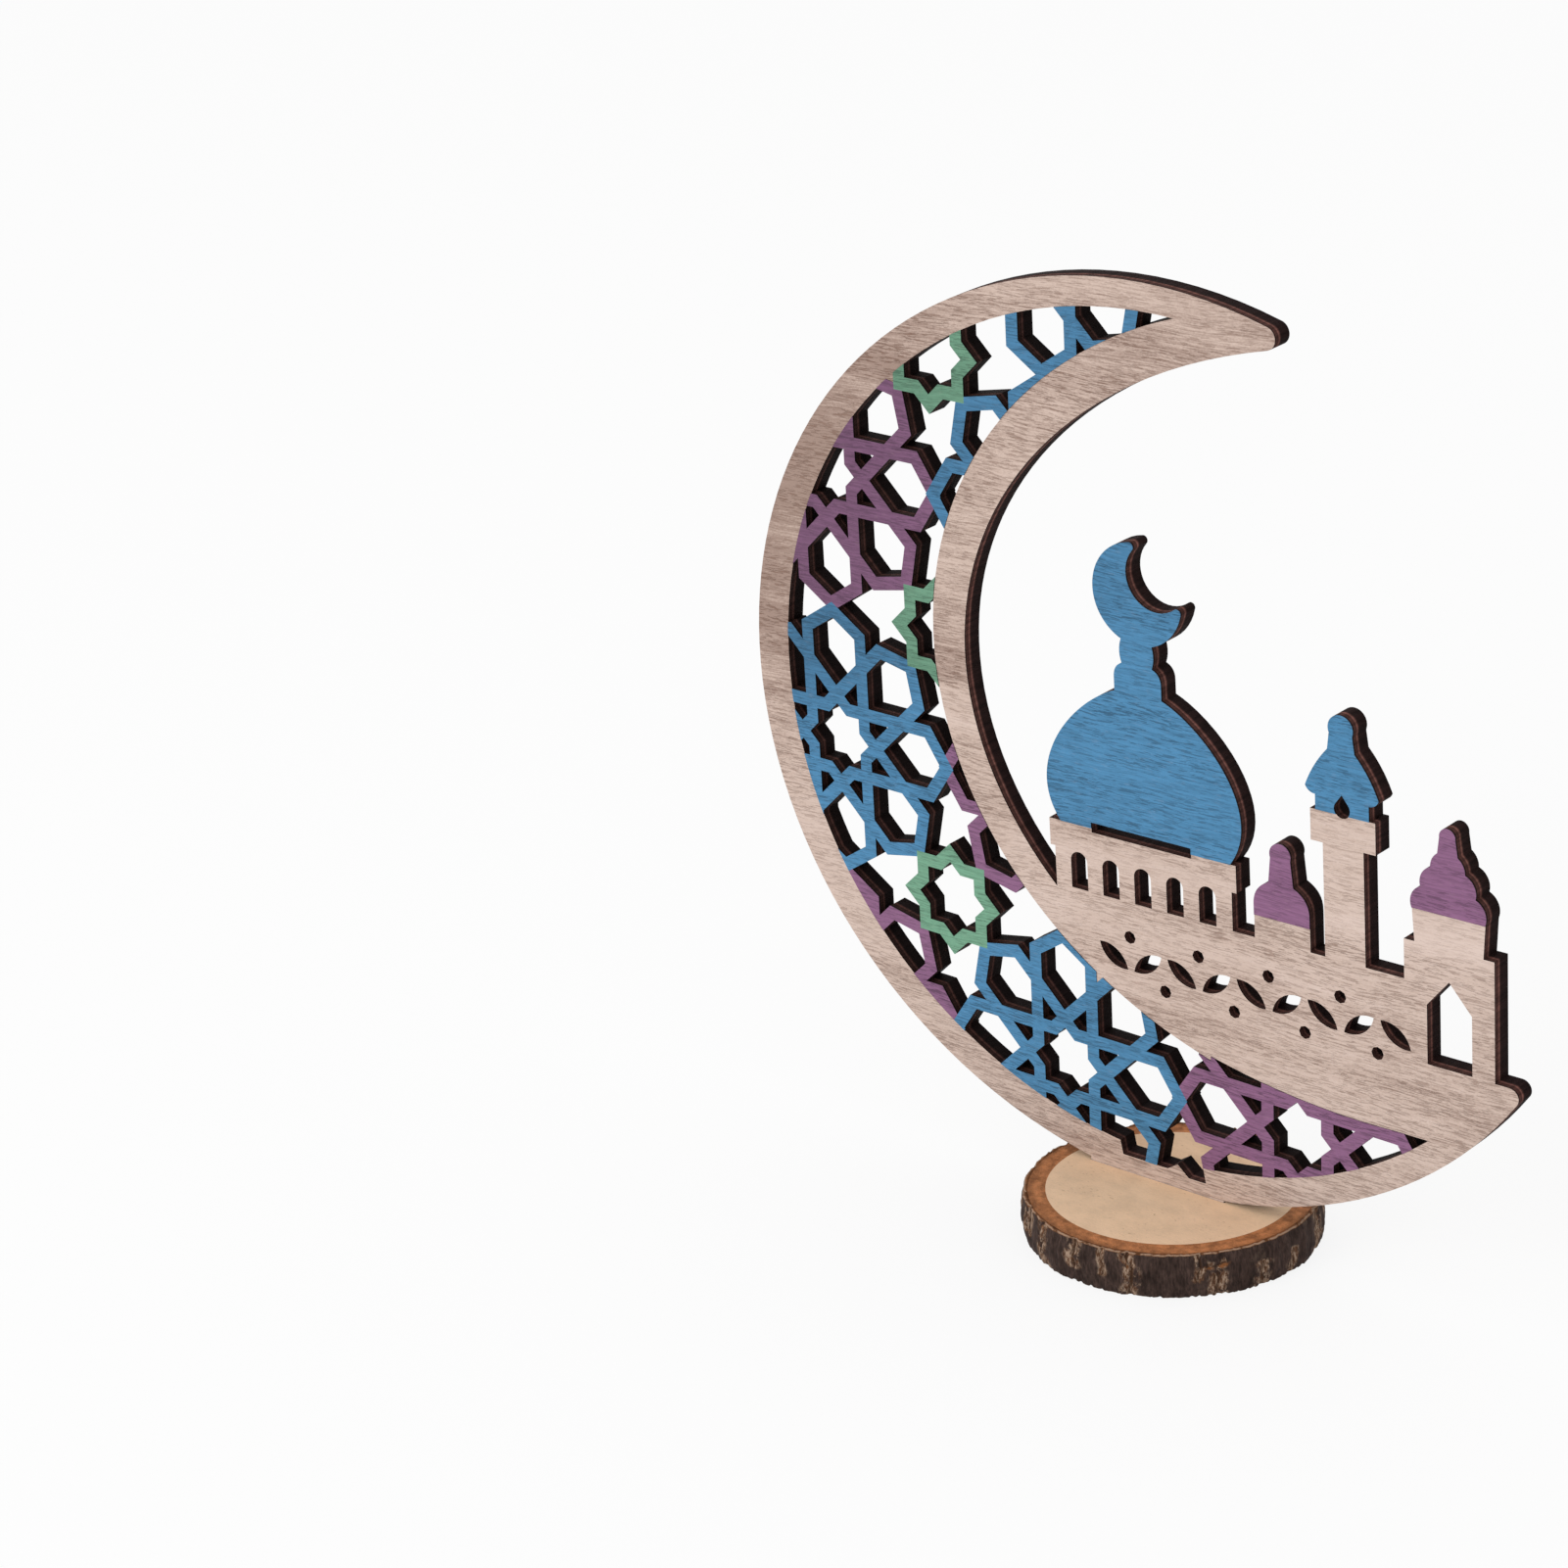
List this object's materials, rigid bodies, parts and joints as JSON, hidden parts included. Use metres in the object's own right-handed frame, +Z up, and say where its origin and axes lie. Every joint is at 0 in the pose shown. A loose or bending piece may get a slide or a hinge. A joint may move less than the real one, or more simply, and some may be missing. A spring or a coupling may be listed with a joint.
{
  "type": "crescent table ornament",
  "caption": "Pierced plywood crescent with a star lattice and a painted dome-and-minaret skyline, standing by its tongue in a slotted round wood slice.",
  "frame": {"origin": "centre of the slice's flat underside", "axes": "+Z up, +X to the right across the painted front, +Y towards the bare back"},
  "size_m": [0.1985, 0.0612, 0.2147],
  "materials": {
    "plywood": "bare greyish veneer with fine dark grain, laser-charred on its cut edges",
    "blue_paint": "thin matt paint with the grain showing through",
    "purple_paint": "thin matt paint with the grain showing through",
    "green_paint": "thin matt paint with the grain showing through",
    "slice_wood": "sanded pale end grain",
    "inner_bark": "red-brown fibrous inner bark",
    "outer_bark": "dark rough bark with upright cracks"
  },
  "bodies": {
    "base": {"wood_disc": "slice_wood", "inner_bark": "inner_bark", "outer_bark": "outer_bark"},
    "panel": {"plywood_panel": "plywood", "blue_star_paint": "blue_paint", "purple_star_paint": "purple_paint", "green_star_paint": "green_paint", "dome_paint": "blue_paint", "minaret_paint": "blue_paint", "turret_paint": "purple_paint", "tower_paint": "purple_paint"}
  },
  "joints": [
    {"name": "tongue_lift", "type": "slide", "parent": "base", "child": "panel", "axis": [0, 0, 1], "range_m": [0, 0.01]}
  ]
}
